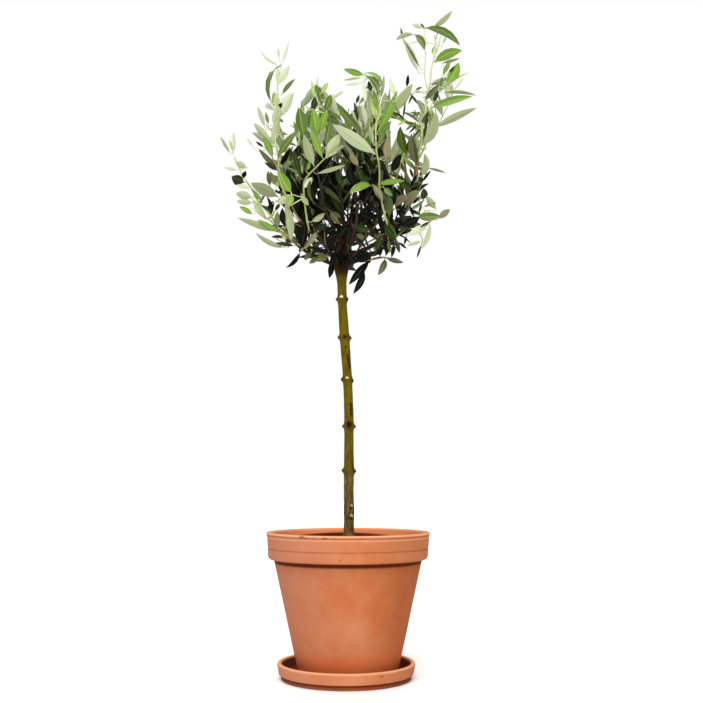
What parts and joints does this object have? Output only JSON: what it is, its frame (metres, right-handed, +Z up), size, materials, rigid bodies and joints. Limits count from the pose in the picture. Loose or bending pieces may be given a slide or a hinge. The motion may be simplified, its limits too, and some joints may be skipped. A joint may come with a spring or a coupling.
{
  "type": "potted olive tree",
  "caption": "Young standard olive tree with a slim trunk and an open crown, in a tapered terracotta pot with a rim band and a matching saucer.",
  "frame": {"origin": "centre of the saucer's flat underside, on the floor", "axes": "+Z up along the trunk; -Y is the side that faces the viewer, +X to the viewer's right"},
  "size_m": [0.3404, 0.2817, 0.885],
  "materials": {
    "terracotta": "matte, unglazed",
    "potting_soil": "rough, dark brown",
    "olive_bark": "olive green above, brown below, satin",
    "bough_bark": "reddish brown, matte",
    "olive_leaf": "green above, silvery beneath, satin"
  },
  "bodies": {
    "root": {"saucer": "terracotta", "pot": "terracotta", "soil": "potting_soil", "trunk": "olive_bark", "bough_crest": "bough_bark", "bough_shoulder": "bough_bark", "bough_right_arm": "bough_bark", "bough_right_middle": "bough_bark", "bough_right_front": "bough_bark", "bough_centre_top": "bough_bark", "bough_front_centre": "bough_bark", "bough_front_left": "bough_bark", "bough_left_top": "bough_bark", "bough_upper_left": "bough_bark", "bough_left_arm": "bough_bark", "bough_left_low": "bough_bark", "bough_left_front": "bough_bark", "bough_back_right": "bough_bark", "bough_back_left": "bough_bark", "bough_back_centre": "bough_bark", "foliage_crest": "olive_leaf", "foliage_shoulder": "olive_leaf", "foliage_right_arm": "olive_leaf", "foliage_right_middle": "olive_leaf", "foliage_right_front": "olive_leaf", "foliage_centre_top": "olive_leaf", "foliage_front_centre": "olive_leaf", "foliage_front_left": "olive_leaf", "foliage_left_top": "olive_leaf", "foliage_upper_left": "olive_leaf", "foliage_left_arm": "olive_leaf", "foliage_left_low": "olive_leaf", "foliage_left_front": "olive_leaf", "foliage_back_right": "olive_leaf", "foliage_back_left": "olive_leaf", "foliage_back_centre": "olive_leaf", "foliage_inner_front": "olive_leaf", "foliage_inner_right": "olive_leaf", "foliage_inner_left": "olive_leaf", "foliage_inner_back": "olive_leaf", "foliage_front_skirt_right": "olive_leaf", "foliage_front_skirt_left": "olive_leaf", "foliage_back_skirt_right": "olive_leaf", "foliage_back_skirt_left": "olive_leaf", "foliage_back_skirt": "olive_leaf"}
  },
  "joints": []
}
